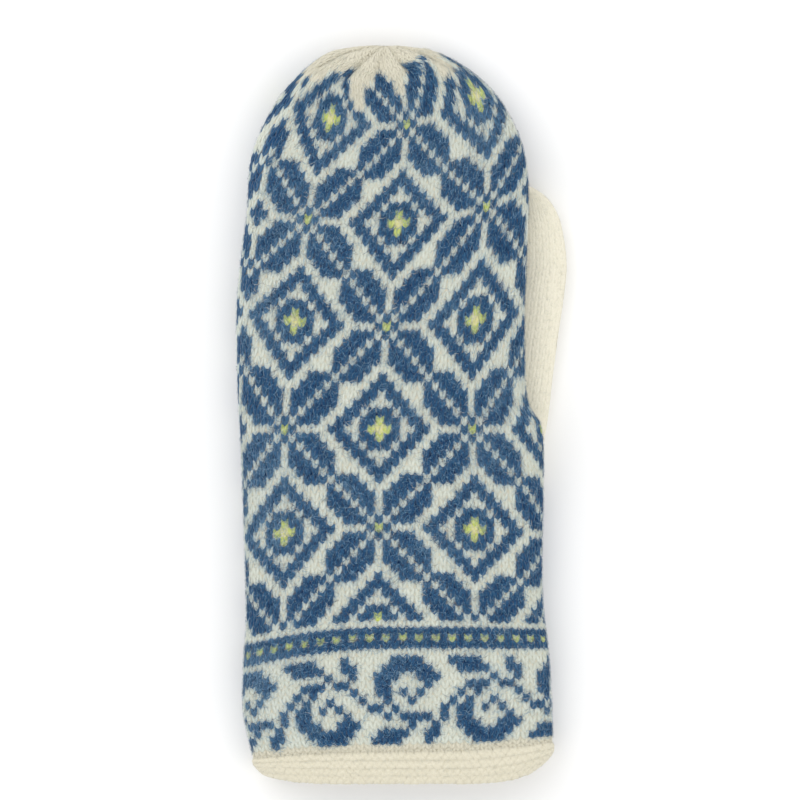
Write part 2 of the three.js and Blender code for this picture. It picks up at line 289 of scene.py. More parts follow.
LAST_ROUND = HAND_KNIT[-1, 0]
# The face is read on a grid of four lines to a round and to a stitch, laid over rings of many points
FINE = 4
HALF_RING = 720
TABLE_STEPS = 2400
BEFORE_TABLE = 0.35
LAST_CELL = 1.001


class KnitFace:
    """The outer face of a knitted piece, found by round and by stitch along the round."""

    def __init__(self, first, last, low, high, points):
        self.first, self.last, self.low = first, last, low
        self.width = high - low
        self.points = points
        self.size = points.shape[:2]
        self.height = np.ptp(points[..., 2], axis=1)
        along = np.gradient(points, axis=0)
        round_way = np.gradient(points, axis=1)
        ends = points[:, -2] - points[:, -1]
        round_way[:, 0] = round_way[:, -1] = (points[:, 1] - points[:, 0] - ends) / 2
        outward = np.cross(round_way, along)
        self.outward = outward / np.maximum(np.linalg.norm(outward, axis=-1, keepdims=True), TINY)

    def at(self, round_number, stitch):
        """Points and outward directions at fractional rounds and stitches, in millimetres."""
        i = np.clip((round_number - self.first) * FINE, 0, self.size[0] - LAST_CELL)
        j = np.mod(stitch - self.low, self.width) * FINE
        j = np.clip(j, 0, self.size[1] - LAST_CELL)
        i0, j0 = np.floor(i).astype(int), np.floor(j).astype(int)
        fi, fj = (i - i0)[..., None], (j - j0)[..., None]
        found = []
        for grid in (self.points, self.outward):
            near = grid[i0, j0] * (1 - fj) + grid[i0, j0 + 1] * fj
            far = grid[i0 + 1, j0] * (1 - fj) + grid[i0 + 1, j0 + 1] * fj
            found.append(near * (1 - fi) + far * fi)
        return found

    def stitch_width(self, round_number, stitch):
        """How wide one stitch is there, in millimetres."""
        right = self.at(round_number, stitch + 0.5)[0]
        left = self.at(round_number, stitch - 0.5)[0]
        return np.linalg.norm(right - left, axis=-1)


def knit_face(rounds, knit, stitches, side_low, lifted=False, folds=()):
    """Lays out a piece's stitches. They are wide on the face that is seen, and crowd towards its edges
    where the knit is gathered. The other face takes the rest evenly."""
    first, last = knit[0, 0], knit[-1, 0]
    numbers = np.arange(int(round((last - first) * FINE)) + 1) / FINE + first
    read = {name: np.interp(numbers, knit[:, 0], knit[:, k]) for k, name in enumerate(KNIT_COLUMNS)}
    fine_t = np.linspace(-BEFORE_TABLE, len(rounds) - 1, TABLE_STEPS)
    t = np.interp(read["along"], rounds_at(rounds, fine_t)["front"], fine_t)
    turn = np.linspace(0, 2 * math.pi, 2 * HALF_RING + 1)
    top = slice(1, HALF_RING)
    columns = np.arange(stitches * FINE + 1) / FINE + side_low
    grid = np.zeros((len(numbers), len(columns), 3))
    for k in range(len(numbers)):
        ring = tube_point(rounds, np.full(turn.shape, t[k]), turn, lifted)
        for direction, depth, reach in folds:
            ring = folded(ring, turn, direction, depth, reach)
        arc = np.concatenate([[0], np.cumsum(np.linalg.norm(np.diff(ring, axis=0), axis=1))])
        start = np.interp(-read["x0"][k], -ring[top, 0], arc[top])
        left_arc = arc[HALF_RING] - start
        right_stitch, left_stitch = read["right_stitch"][k], read["left_stitch"][k]
        tight_right = right_stitch * read["pitch"][k] / start
        tight_left = -left_stitch * read["pitch"][k] / left_arc
        turned = np.mod(columns - left_stitch, stitches) + left_stitch
        to_right = 1 - np.clip(turned / right_stitch, 0, 1)
        to_left = 1 - np.clip(turned / left_stitch, 0, 1)
        under = (turned - right_stitch) / (stitches + left_stitch - right_stitch)
        on_right = start * to_right**tight_right
        on_left = start + left_arc * (1 - to_left**tight_left)
        place = np.where(turned < 0, on_left, on_right)
        place = np.where(turned > right_stitch, arc[-1] - under * (arc[-1] - arc[HALF_RING]), place)
        for axis in range(3):
            grid[k, :, axis] = np.interp(place, arc, ring[:, axis])
    return KnitFace(first, last, side_low, side_low + stitches, grid)


hand_face = knit_face(
    HAND_ROUNDS, HAND_KNIT, STITCHES_ROUND, OTHER_SIDE_STITCH, lifted=True, folds=TIP_FOLDS)
hand_box_low, hand_box_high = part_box("hand")
# How far the tables' own millimetres are moved to lie in the part's frame
SHIFT = np.array([
    hand_box_low.x / MM - hand_face.points[..., 0].min(),
    hand_box_high.y / MM - GATHER_Y,
    0.0,
])

# Hand pocket: its pattern
# A blue lattice of diamonds and four-leaf crosses on cream, with lime hearts. One quarter of the repeat is
# charted, and the rest mirrors it. B is blue, C cream, G lime, Y pale lime, and W the plain cream beyond
# the pattern.
QUARTER_CHART = (
    "GBCCCCBBCCBGY",
    "BCBBBCCBBCBBG",
    "CBCBBBCCBBCBB",
    "CBBCBBBCCBBCC",
    "CBBBCBBCCCBBC",
    "CCBBBCBCCCCBB",
    "BCCBBBCBBBCCB",
    "BBCCCCBCBBBCC",
    "CBBCCCBBCBBBC",
    "CCBBCCBBBCBBC",
    "BBCBBCCBBBCBC",
    "GBBCBBCCBBBCB",
    "YGBCCBBCCCCBG",
)
LATTICE_REPEAT = 2 * (len(QUARTER_CHART) - 1)
LATTICE_FIRST = -11
# The last round of the lattice, from each stitch on. Above it the gathered tip is plain cream.
LATTICE_ENDS = (
    (-19, 50), (-15, 52), (-12, 53), (-9, 50), (-8, 49), (-6, 52), (-5, 53), (-4, 54),
    (-2, 53), (-1, 51), (1, 53), (3, 54), (8, 50), (12, 52), (15, 53),
)
BLUE_LINES = (-13, -15)
DOT_LINE = -14
# A running vine of scrolls round the cuff, from its top round down, 20 stitches a repeat.
SCROLL_CHART = (
    "CCBBBBCCCBBBBCCCBCCC",
    "CBBBBBBCCCBBBBCCBBCC",
    "BBBCCBBBCCCCCCBCCBCC",
    "BBCCCCBCCCCBBBCBBCCC",
    "BBCBCBCCCCBCBCCCCBCC",
    "CBCCBCCCCBCBCCBCCCBC",
    "BCBCCCCCBCBBCBCBCCCB",
    "CBCBBBBCBCBBCCCCBCCC",
    "CCCCBCCBCCBBBCCBBBCC",
    "BBBBCCBBCCCBBBBBBCCC",
    "BBBCCCBCCCCCBBBBCCCB",
)
SCROLL_TOP = -17
SCROLL_END = SCROLL_TOP - len(SCROLL_CHART)
SCROLL_REPEAT = len(SCROLL_CHART[0])


def charted(round_number, stitch):
    """The yarn of one stitch. The palm mirrors the back of the hand at both sides."""
    if stitch > THUMB_SIDE_STITCH:
        stitch = 2 * THUMB_SIDE_STITCH - stitch
    lattice_last = [last for start, last in LATTICE_ENDS if stitch >= start][-1]
    if round_number > lattice_last or round_number <= SCROLL_END:
        return "W"
    if round_number >= LATTICE_FIRST:
        row = round_number % LATTICE_REPEAT
        column = stitch % LATTICE_REPEAT
        return QUARTER_CHART[min(row, LATTICE_REPEAT - row)][min(column, LATTICE_REPEAT - column)]
    if round_number in BLUE_LINES:
        return "B"
    if round_number == DOT_LINE:
        return "G" if stitch % 2 else "B"
    if round_number > SCROLL_TOP:
        return "C"
    return SCROLL_CHART[SCROLL_TOP - round_number][stitch % SCROLL_REPEAT]


round_numbers = np.arange(math.ceil(FIRST_ROUND), int(LAST_ROUND))
stitch_numbers = np.arange(OTHER_SIDE_STITCH, OTHER_SIDE_STITCH + STITCHES_ROUND)
hand_chart = np.array([[charted(r, c) for c in stitch_numbers] for r in round_numbers])
blue_chart = (hand_chart == "B").astype(float)
padded_blue = np.pad(blue_chart, ((1, 1), (0, 0)), mode="edge")
# The share of blue among each stitch and its eight neighbours
blue_near = sum(
    np.roll(padded_blue[1 + a:1 + a + len(round_numbers)], b, axis=1)
    for a in (-1, 0, 1)
    for b in (-1, 0, 1)
) / 9

# Where the knit is rubbed and its bloom is thickest: round, stitch, radius in stitches and strength
BLOOM_SPOTS = np.array([
    (-21, -16, 5.0, 1.0), (-15, -14, 4.0, 0.8), (-25, -10, 3.0, 0.5), (-18, 2, 3.0, 0.4), (-20, 15, 4.0, 0.5),
    (2, -16, 6.0, 1.0), (9, -14, 4.0, 0.7), (4, -2, 4.0, 0.4), (-4, 6, 4.0, 0.5), (8, 14, 4.0, 0.5),
    (17, 20, 5.0, 0.8), (24, -17, 5.0, 0.8), (30, -6, 4.0, 0.4), (27, 8, 4.0, 0.5), (36, -14, 5.0, 0.7),
    (42, 3, 4.0, 0.5), (47, -9, 4.0, 0.7), (45, 12, 5.0, 0.8), (50, 0, 3.0, 0.4), (14, 4, 3.0, 0.4),
    (-10, 36, 6.0, 0.8), (8, 46, 6.0, 0.8), (26, 38, 6.0, 0.8), (42, 50, 6.0, 0.8), (-22, 54, 5.0, 0.7),
])


def bloom_at(rounds, stitches):
    """How thick the bloom is there, from 0 to 1."""
    total = np.zeros(np.shape(rounds))
    for round_number, stitch, radius, strength in BLOOM_SPOTS:
        off = np.mod(stitches - stitch + STITCHES_ROUND / 2, STITCHES_ROUND) - STITCHES_ROUND / 2
        total = total + strength * np.exp(-((rounds - round_number) ** 2 + off**2) / radius**2)
    return np.minimum(total, 1)


def blue_at(rounds, stitches):
    """The share of blue yarn at fractional rounds and stitches, read between the stitches' middles."""
    i = np.clip(rounds - round_numbers[0], 0, len(round_numbers) - LAST_CELL)
    j = np.mod(stitches - stitch_numbers[0], STITCHES_ROUND)
    i0, j0 = np.floor(i).astype(int), np.floor(j).astype(int)
    fi, fj = i - i0, j - j0
    j0 = j0 % STITCHES_ROUND
    j1 = (j0 + 1) % STITCHES_ROUND
    low = blue_chart[i0, j0] * (1 - fj) + blue_chart[i0, j1] * fj
    high = blue_chart[i0 + 1, j0] * (1 - fj) + blue_chart[i0 + 1, j1] * fj
    return low * (1 - fi) + high * fi


# Wool yarn
# Soft brushed wool: matt, with a heathered tone, fine fibres and a pale bloom at grazing angles.
# The group gives the heather mask and the height of the fibres.
yarn_group = bpy.data.node_groups.new("brushed_wool", "ShaderNodeTree")
yarn_group.interface.new_socket("Heather Size", in_out="INPUT", socket_type="NodeSocketFloat")
yarn_group.interface.new_socket("Heather", in_out="OUTPUT", socket_type="NodeSocketFloat")
yarn_group.interface.new_socket("Height", in_out="OUTPUT", socket_type="NodeSocketFloat")
group_in = yarn_group.nodes.new("NodeGroupInput")
group_out = yarn_group.nodes.new("NodeGroupOutput")
place = yarn_group.nodes.new("ShaderNodeTexCoord")
heather = yarn_group.nodes.new("ShaderNodeTexNoise")
heather.inputs["Detail"].default_value = 5
heather.inputs["Roughness"].default_value = 0.7
heather.inputs["Distortion"].default_value = 1.5
fibres = yarn_group.nodes.new("ShaderNodeTexNoise")
fibres.inputs["Scale"].default_value = 5200
fibres.inputs["Detail"].default_value = 3
fibres.inputs["Distortion"].default_value = 1.2
spread = yarn_group.nodes.new("ShaderNodeMapRange")
spread.inputs["From Min"].default_value = 0.36
spread.inputs["From Max"].default_value = 0.64
link = yarn_group.links.new
link(place.outputs["Object"], heather.inputs["Vector"])
link(place.outputs["Object"], fibres.inputs["Vector"])
link(group_in.outputs["Heather Size"], heather.inputs["Scale"])
link(heather.outputs["Fac"], spread.inputs["Value"])
link(spread.outputs["Result"], group_out.inputs["Heather"])
link(fibres.outputs["Fac"], group_out.inputs["Height"])


def matt_wool(name, heather_size, roughness, specular):
    """A new matt material, its shader and the brushed wool in it."""
    material = bpy.data.materials.new(name)
    material.use_nodes = True
    shader = material.node_tree.nodes["Principled BSDF"]
    shader.inputs["Roughness"].default_value = roughness
    shader.inputs["Specular IOR Level"].default_value = specular
    texture = material.node_tree.nodes.new("ShaderNodeGroup")
    texture.node_tree = yarn_group
    texture.inputs["Heather Size"].default_value = heather_size
    return material, shader, texture


def attribute_node(material, name):
    """A node that reads a value kept at every point of the mesh."""
    node = material.node_tree.nodes.new("ShaderNodeAttribute")
    node.attribute_name = name
    return node


def mixed_colour(material, factor, first, second):
    """The output that mixes two colours. Each is given as a colour or as another node's output."""
    mix = material.node_tree.nodes.new("ShaderNodeMix")
    mix.data_type = "RGBA"
    material.node_tree.links.new(factor, mix.inputs["Factor"])
    for slot, colour in (("A", first), ("B", second)):
        if isinstance(colour, bpy.types.NodeSocket):
            material.node_tree.links.new(colour, mix.inputs[slot])
        else:
            mix.inputs[slot].default_value = (*colour, 1)
    return mix.outputs["Result"]


def add_bump(material, shader, height, strength, distance):
    """Raises the surface by a height output, by the distance in millimetres."""
    bump = material.node_tree.nodes.new("ShaderNodeBump")
    bump.inputs["Strength"].default_value = strength
    bump.inputs["Distance"].default_value = distance * MM
    material.node_tree.links.new(height, bump.inputs["Height"])
    material.node_tree.links.new(bump.outputs["Normal"], shader.inputs["Normal"])


def wool(name, dark, light, bloom):
    """A yarn material: dark and light are its heather, bloom the colour of the fibres blown over it."""
    material, shader, texture = matt_wool(name, heather_size=1500, roughness=0.92, specular=0.15)
    heathered = mixed_colour(material, texture.outputs["Heather"], dark, light)
    hazed = mixed_colour(material, attribute_node(material, "haze").outputs["Fac"], heathered, bloom)
    material.node_tree.links.new(hazed, shader.inputs["Base Color"])
    add_bump(material, shader, texture.outputs["Height"], strength=0.5, distance=0.25)
    shader.inputs["Sheen Weight"].default_value = 0.25
    shader.inputs["Sheen Roughness"].default_value = 0.5
    return material


# The hand's yarns by their letters in the charts: name, the heather's dark and light, and the bloom
YARN_COLOURS = {
    "B": ("blue", (0.004, 0.028, 0.092), (0.021, 0.100, 0.228), (0.24, 0.41, 0.54)),
    "C": ("cream", (0.58, 0.61, 0.53), (0.74, 0.77, 0.69), (0.15, 0.32, 0.48)),
    "W": ("plain", (0.61, 0.575, 0.455), (0.74, 0.705, 0.58), (0.20, 0.34, 0.46)),
    "G": ("lime", (0.50, 0.57, 0.10), (0.71, 0.76, 0.22), (0.14, 0.25, 0.28)),
    "Y": ("pale_lime", (0.62, 0.60, 0.24), (0.78, 0.75, 0.38), (0.14, 0.25, 0.28)),
}
YARNS = {
    letter: wool(f"{name}_wool", dark, light, bloom)
    for letter, (name, dark, light, bloom) in YARN_COLOURS.items()
}

# Knitted stitches
# Each stitch of stocking stitch shows as a V of two plump legs of yarn. One leg is shaped here, and the
# stitches are laid along the piece's face by arrays of it, so that they bend with the rounds.
LEG_SIDES = 5
LEG_RINGS = (
    # how far up the stitch, how far from its middle, half width in stitches, half height in mm, depth in mm
    (-0.42, 0.115, 0.200, 0.40, -0.46),
    (0.05, 0.235, 0.260, 0.48, -0.46),
    (0.52, 0.345, 0.215, 0.42, -0.60),
)
# The leg's two ends: how far from the stitch's middle, how far up, depth in mm
LEG_START = (0.04, -0.76, -0.75)
LEG_END = (0.43, 0.88, -0.92)
# How uneven the hand-knitted stitches are
UNEVEN_WIDTH = 0.05
UNEVEN_HEIGHT = 0.04
UNEVEN_ROUND = 0.04
UNEVEN_STITCH = 0.035
# The width in mm from which a stitch stands at its whole height, and what all keep clear of the table
FULL_HEIGHT_WIDTH = 1.8
TABLE_GAP = 0.02


def closed_strand(sections, sides, ends):
    """Points and faces of a short closed length of yarn. A section is its middle and its two half axes."""
    form = bmesh.new()
    rings = []
    for section in sections:
        middle, wide, high = np.array(section)
        made = bmesh.ops.create_circle(form, segments=sides, radius=1, cap_ends=False)["verts"]
        for vertex in made:
            angle = math.atan2(vertex.co.y, vertex.co.x)
            vertex.co = middle + wide * math.cos(angle) + high * math.sin(angle)
        rings.append(list(dict.fromkeys(e for v in made for e in v.link_edges)))
    for lower, upper in zip(rings, rings[1:]):
        bmesh.ops.bridge_loops(form, edges=lower + upper)
    for ring, end in zip((rings[0], rings[-1]), ends):
        cap = bmesh.ops.extrude_edge_only(form, edges=ring)["geom"]
        tip = [g for g in cap if isinstance(g, bmesh.types.BMVert)]
        bmesh.ops.pointmerge(form, verts=tip, merge_co=end)
    bmesh.ops.recalc_face_normals(form, faces=form.faces)
    form.verts.index_update()
    places = np.array([v.co[:] for v in form.verts])
    faces = [[v.index for v in f.verts] for f in form.faces]
    form.free()
    return places, faces


def flat_faces(faces):
    """Faces as one list of corners and one of corner counts."""
    return np.concatenate([np.array(f) for f in faces]), np.array([len(f) for f in faces])


def new_mesh(name, points, corners, counts, material, haze):
    """A joined mesh from arrays of the tables' millimetres, with a haze value at every point."""
    mesh = bpy.data.meshes.new(name)
    mesh.vertices.add(len(points))
    mesh.vertices.foreach_set("co", ((points + SHIFT) * MM).astype(np.float32).ravel())
    mesh.loops.add(len(corners))
    mesh.loops.foreach_set("vertex_index", corners.astype(np.int32))
    mesh.polygons.add(len(counts))
    mesh.polygons.foreach_set("loop_start", np.concatenate([[0], np.cumsum(counts)[:-1]]).astype(np.int32))
    mesh.polygons.foreach_set("loop_total", counts.astype(np.int32))
    mesh.polygons.foreach_set("use_smooth", np.ones(len(counts), bool))
    mesh.attributes.new("haze", "FLOAT", "POINT").data.foreach_set("value", haze.astype(np.float32))
    mesh.materials.append(material)
    mesh.update(calc_edges=True)
    mesh.validate()
    return placed(name, mesh)


leg_places, leg_faces = closed_strand(
    [
        ((across, up, depth), (half_width, 0, 0), (0, 0, half_height))
        for up, across, half_width, half_height, depth in LEG_RINGS
    ],
    LEG_SIDES, (LEG_START, LEG_END))
leg_middles = np.interp(leg_places[:, 1], [ring[0] for ring in LEG_RINGS], [ring[1] for ring in LEG_RINGS])
leg_middles[-2:] = leg_places[-2:, 0]
left_leg_faces = [f[::-1] for f in leg_faces]
v_places = np.concatenate([leg_places, leg_places * (-1, 1, 1)])
v_middles = np.concatenate([leg_middles, -leg_middles])
v_faces = leg_faces + [[i + len(leg_places) for i in f] for f in left_leg_faces]
v_corners, v_counts = flat_faces(v_faces)
yarn_luck = np.random.default_rng(7)


def felt_over(mesh, outward, felted):
    """Turns the shading of a matted piece towards its smooth face, as its felted fibres fill the grooves."""
    own = np.empty(len(mesh.vertices) * 3, np.float32)
    mesh.vertices.foreach_get("normal", own)
    mixed = own.reshape(-1, 3) * (1 - felted) + outward * felted
    mixed /= np.linalg.norm(mixed, axis=1, keepdims=True)
    mesh.normals_split_custom_set_from_vertices(mixed.tolist())


def lay_stitches(name, face, members, hazes, material, relief, felted=0.0):
    """Lays one V for each row of members: round, stitch, how many stitches are knitted together, and how
    plump the yarn is. hazes(rounds, stitches) is read at every point."""
    rounds, stitches, together, plump = members.T
    luck = yarn_luck.normal(0, 1, (4, len(rounds)))
    v_across = v_middles[None] + (v_places[None, :, 0] - v_middles[None]) * plump[:, None]
    across = v_across * together[:, None] * (1 + UNEVEN_WIDTH * luck[0])[:, None]
    up = v_places[None, :, 1] * (1 + UNEVEN_HEIGHT * luck[1])[:, None]
    number = rounds[:, None] + up + UNEVEN_ROUND * luck[2][:, None]
    stitch = stitches[:, None] + across + UNEVEN_STITCH * luck[3][:, None]
    points, outward = face.at(number, stitch)
    width = face.stitch_width(rounds, stitches) * together
    high = (np.minimum(1, width / FULL_HEIGHT_WIDTH) * relief)[:, None, None]
    points = points + outward * v_places[None, :, 2, None] * high
    points[..., 2] = np.maximum(points[..., 2], TABLE_GAP)
    corners = (v_corners[None] + np.arange(len(rounds))[:, None] * len(v_places)).ravel()
    counts = np.tile(v_counts, len(rounds))
    piece = new_mesh(name, points.reshape(-1, 3), corners, counts, material, hazes(number, stitch).ravel())
    if felted > 0:
        felt_over(piece.data, outward.reshape(-1, 3), felted)
    return piece


# Hand pocket: its stitches
# Towards the fingertip the rounds shrink, so stitches are knitted together there and fewer go round. They
# stand lower there, where the gathered knit is felted. Where the thumb is picked up, the palm is open.
NARROWEST_STITCH = 1.55
STITCH_RELIEF = 0.85
FELTED_RELIEF = 0.35
FELTING_STARTS = 48
FELTING_FULL = 54
OPENING_POWER = 2.6
OPENING_FILL = 0.85
OPENING_AFTER_ROOT = 1.5
OPENING_BEFORE_TIP = 2
OPENING_HEADROOM = 0.4
PLUMPNESS = {"B": 1.18, "C": 1.14, "W": 1.2, "G": 1.2, "Y": 1.3}
CREAM_SQUEEZED = 0.42
DOT_PLUMPNESS = 1.05


def hand_relief(number):
    """How high the stitches stand, less over the felted fingertip."""
    return STITCH_RELIEF - (STITCH_RELIEF - FELTED_RELIEF) * smoothstep(number, FELTING_STARTS, FELTING_FULL)


def inside_thumb(points):
    """Which points lie inside the thumb's own tube, where the palm is open."""
    row = rounds_at(THUMB_ROUNDS, np.interp(points[..., 1], THUMB_ROUNDS[:, 0], np.arange(len(THUMB_ROUNDS))))
    half_x = (row["right_x"] - row["left_x"]) / 2
    half_z = row["thick"] / 2
    off_x = np.abs(points[..., 0] - (row["left_x"] + row["right_x"]) / 2) / half_x
    off_z = np.abs(points[..., 2] - half_z) / (half_z + OPENING_HEADROOM)
    after_root = points[..., 1] > THUMB_ROOT_Y + OPENING_AFTER_ROOT
    before_tip = points[..., 1] < THUMB_TIP_Y - OPENING_BEFORE_TIP
    return (off_x**OPENING_POWER + off_z**OPENING_POWER < OPENING_FILL) & after_root & before_tip


def stitches_together(width):
    """How many stitches are knitted together where one alone would be this wide."""
    return next((k for k in (1, 2, 4) if width * k > NARROWEST_STITCH), 8)


hand_sets = {}
for i, number in enumerate(round_numbers):
    widths = hand_face.stitch_width(np.full(STITCHES_ROUND, number), stitch_numbers)
    for j, stitch in enumerate(stitch_numbers):
        together = stitches_together(widths[j])
        if stitch % together:
            continue
        side = "back_of_hand" if stitch <= THUMB_SIDE_STITCH else "palm"
        yarn = hand_chart[i, j]
        plump = PLUMPNESS[yarn]
        if yarn == "C":
            plump -= CREAM_SQUEEZED * blue_near[i, j]
        if number == DOT_LINE:
            plump = DOT_PLUMPNESS
        hand_sets.setdefault((side, yarn), []).append((number, stitch, together, plump))

BLUE_EDGE_HAZE = 0.40
BLUE_RUBBED_HAZE = 0.16
PALE_EDGE_HAZE = 0.62
PALE_RUBBED_HAZE = 0.10
DOT_HAZE = 0.10
DOT_HAZE_REACH = 0.9
MOST_HAZE = 0.8


def haze_on_blue(rounds, stitches):
    """How much pale wool is blown over a blue stitch, most beside a pale one."""
    return BLUE_EDGE_HAZE * (1 - blue_at(rounds, stitches)) + BLUE_RUBBED_HAZE * bloom_at(rounds, stitches)


def haze_on_pale(rounds, stitches):
    """How much blue wool is blown over a pale stitch, most beside a blue one."""
    rubbed = PALE_RUBBED_HAZE * bloom_at(rounds, stitches)
    dots = DOT_HAZE * (np.abs(rounds - DOT_LINE) < DOT_HAZE_REACH)
    return np.minimum(PALE_EDGE_HAZE * blue_at(rounds, stitches) + rubbed + dots, MOST_HAZE)


for (side, yarn), members in hand_sets.items():
    table = np.array(members, float)
    centres = hand_face.at(table[:, 0], table[:, 1])[0]
    table = table[~inside_thumb(centres)]
    piece = lay_stitches(
        f"{side}_{YARN_COLOURS[yarn][0]}_stitches", hand_face, table,
        haze_on_blue if yarn == "B" else haze_on_pale, YARNS[yarn], hand_relief(table[:, 0]))
    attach(piece, "root")

# Hand pocket: its wall
# The body of the knit under the stitches, and its inside with the strands that the yarns are carried in.
# It is open at the cuff and where the thumb is picked up. The plain fingertip carries no second yarn.
WALL_THICKNESS = 2.2
STRANDS_END = 54
# The wall has at most this share of the piece's width and height there, and lies at most so deep in it
SHARE_OF_WIDTH = 0.3
SHARE_OF_HEIGHT = 0.12
SUNK_SHARE_OF_WIDTH = 0.1
ROWS_TO_A_ROUND = 2
WALL_TABLE_GAP = 0.25
YARN_CONTRAST = 1.5
MERGED_WITHIN = 0.02
# The last column is read just short of the first, which it then meets
SHORT_OF_FIRST = 1e-6


def knit_wall(name, face, first, last, low, count, keep, colours, thickness, depth, materials):
    """A wall of the knit's own thickness under a piece's stitches, thinner towards a gathered tip. It takes
    one material outside and one inside, and every point keeps its round and stitch."""
    form = bmesh.new()
    tall = int(round((last - first) * ROWS_TO_A_ROUND))
    bmesh.ops.create_grid(form, x_segments=count, y_segments=tall, size=0.5)
    yarn_layer = form.verts.layers.float.new("yarn")
    inward_layer = form.verts.layers.float_vector.new("inward")
    knit_layer = form.verts.layers.float_vector.new("knit")
    numbers = np.array([first + (v.co.y + 0.5) * (last - first) for v in form.verts])
    stitches = np.array([low + (v.co.x + 0.5) * count for v in form.verts])
    points, outward = face.at(numbers, np.minimum(stitches, low + count - SHORT_OF_FIRST))
    width = np.linalg.norm(face.at(numbers, stitches + count / 2)[0] - points, axis=1)
    height = np.interp(numbers, np.linspace(face.first, face.last, len(face.height)), face.height)
    wall = np.minimum(thickness, np.minimum(SHARE_OF_WIDTH * width, SHARE_OF_HEIGHT * height))[:, None]
    outside = points - outward * np.minimum(depth(numbers), SUNK_SHARE_OF_WIDTH * width)[:, None]
    outside[:, 2] = np.maximum(outside[:, 2], WALL_TABLE_GAP)
    for vertex, place, inward, number, stitch in zip(form.verts, outside, -outward * wall, numbers, stitches):
        vertex.co = (place + SHIFT) * MM
        vertex[inward_layer] = inward * MM
        vertex[yarn_layer] = min(1.0, YARN_CONTRAST * float(colours(number, stitch)))
        vertex[knit_layer] = (number, stitch, 0)
    bmesh.ops.remove_doubles(form, verts=form.verts, dist=MERGED_WITHIN * MM)
    open_faces = [f for f in form.faces if not keep(np.array(f.calc_center_median()) / MM - SHIFT)]
    bmesh.ops.delete(form, geom=open_faces, context="FACES")
    drawn = bmesh.ops.extrude_face_region(form, geom=form.faces[:], use_keep_orig=True)["geom"]
    for element in drawn:
        if isinstance(element, bmesh.types.BMVert):
            element.co += element[inward_layer]
        if isinstance(element, bmesh.types.BMFace) and element.verts[0][knit_layer].x < STRANDS_END:
            element.material_index = 1
    bmesh.ops.recalc_face_normals(form, faces=form.faces)
    mesh = bpy.data.meshes.new(name)
    form.to_mesh(mesh)
    form.free()
    for polygon in mesh.polygons:
        polygon.use_smooth = True
    for material in materials:
        mesh.materials.append(material)
    return placed(name, mesh)


def maths(material, operation, *values):
    """A sum's output. Each value is a number or another node's output."""
    node = material.node_tree.nodes.new("ShaderNodeMath")
    node.operation = operation
    for slot, value in enumerate(values):
        if isinstance(value, bpy.types.NodeSocket):
            material.node_tree.links.new(value, node.inputs[slot])
        else:
            node.inputs[slot].default_value = value
    return node.outputs["Value"]


def strand_wool(name, strand, other, blend):
    """The inside of the knit: purl ridges along the rounds, where the strands of both yarns are carried."""
    material, shader, texture = matt_wool(name, heather_size=420, roughness=0.95, specular=0.1)
    nodes, links = material.node_tree.nodes, material.node_tree.links
    split = nodes.new("ShaderNodeSeparateXYZ")
    links.new(attribute_node(material, "knit").outputs["Vector"], split.inputs["Vector"])
    ridges, rows, columns = (
        maths(material, "SINE", maths(material, "MULTIPLY", split.outputs[axis], turns * 2 * math.pi))
        for axis, turns in (("X", 2), ("X", 1), ("Y", 1)))
    tone = maths(material, "SUBTRACT", maths(material, "ADD", rows, texture.outputs["Heather"]), 0.5)
    share = nodes.new("ShaderNodeMapRange")
    share.inputs["From Min"].default_value = -0.5
    share.inputs["From Max"].default_value = 0.5
    share.inputs["To Max"].default_value = blend
    links.new(tone, share.inputs["Value"])
    links.new(mixed_colour(material, share.outputs["Result"], strand, other), shader.inputs["Base Color"])
    height = maths(material, "MULTIPLY_ADD", columns, 0.5, ridges)
    add_bump(material, shader, height, strength=0.9, distance=0.5)
    return material


wall_wool, wall_shader, wall_texture = matt_wool("wall_wool", heather_size=700, roughness=0.95, specular=0.1)
wall_colour = mixed_colour(
    wall_wool, attribute_node(wall_wool, "yarn").outputs["Fac"], (0.76, 0.72, 0.59), (0.008, 0.035, 0.10))
wall_wool.node_tree.links.new(wall_colour, wall_shader.inputs["Base Color"])
add_bump(wall_wool, wall_shader, wall_texture.outputs["Heather"], strength=0.8, distance=0.4)

hand_strands = strand_wool("hand_strands", (0.64, 0.64, 0.56), (0.022, 0.085, 0.20), 1.0)
hand_wall = knit_wall(
    "hand_wall", hand_face, FIRST_ROUND + 0.5, LAST_ROUND, OTHER_SIDE_STITCH, STITCHES_ROUND,
    keep=lambda point: not inside_thumb(point), colours=blue_at, thickness=WALL_THICKNESS,
    depth=lambda numbers: 0.5 * hand_relief(numbers), materials=(wall_wool, hand_strands))
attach(hand_wall, "root")
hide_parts("hand")

# Thumb
# A plain cream tube of stocking stitch, picked up round the opening in the palm, lying flat under the
# palm's thumb side and drawn together at its tip.
THUMB_STITCHES = 32
THUMB_FIRST_STITCH = -8
THUMB_RELIEF = 0.18
THUMB_FELT = 0.66
THUMB_PLUMPNESS = 1.45
THUMB_WALL = 2.0
THUMB_WALL_DEPTH = 0.04
THUMB_WALL_END = 42.5
POCKET_EDGE_X = 47
THUMB_KNIT = np.array([
    (0, 97.8, 28.2, 2.60, 8, -8),
    (5, 112.7, 30.6, 2.64, 8, -8),
    (17, 147.2, 36.4, 2.66, 8, -8),
    (31, 186.5, 41.6, 2.66, 8, -8),
    (36, 200.4, 41.9, 2.45, 8, -8),
    (38.5, 206.9, 41.7, 2.1, 8, -8),
    (40.5, 211.6, 41.6, 1.6, 8, -8),
    (42, 214.4, 41.4, 1.1, 8, -8),
    (43, 215.7, 41.3, 0.45, 8, -8),
])
thumb_face = knit_face(THUMB_ROUNDS, THUMB_KNIT, THUMB_STITCHES, THUMB_FIRST_STITCH)


